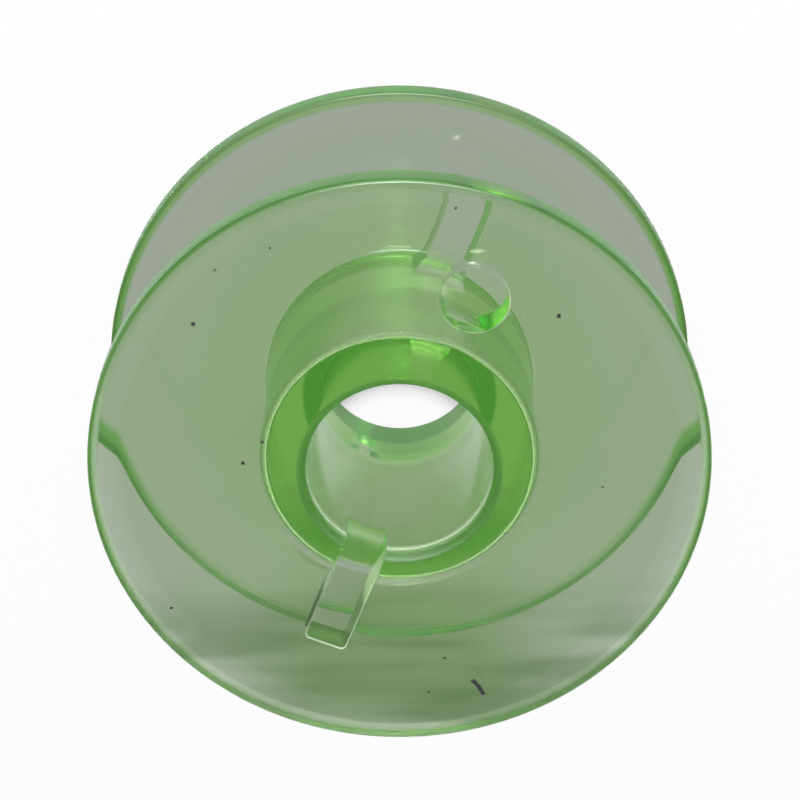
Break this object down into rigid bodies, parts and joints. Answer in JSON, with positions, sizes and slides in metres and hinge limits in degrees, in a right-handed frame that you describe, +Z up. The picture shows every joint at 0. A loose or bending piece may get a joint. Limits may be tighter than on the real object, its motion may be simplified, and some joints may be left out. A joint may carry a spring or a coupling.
{
  "type": "sewing machine bobbin",
  "caption": "Clear green plastic bobbin for a sewing machine: a hollow hub between two flat round flanges, with thread holes and winding notches.",
  "frame": {"origin": "middle of the lower flange's outer face, on the bore's axis, where the bobbin stands", "axes": "+Z up along the bore's axis; +X towards the upper flange's round thread hole"},
  "size_m": [0.0205, 0.0204, 0.0092],
  "materials": {
    "green_plastic": "clear yellow-green, glossy"
  },
  "bodies": {
    "root": {"bobbin": "green_plastic"}
  },
  "joints": []
}
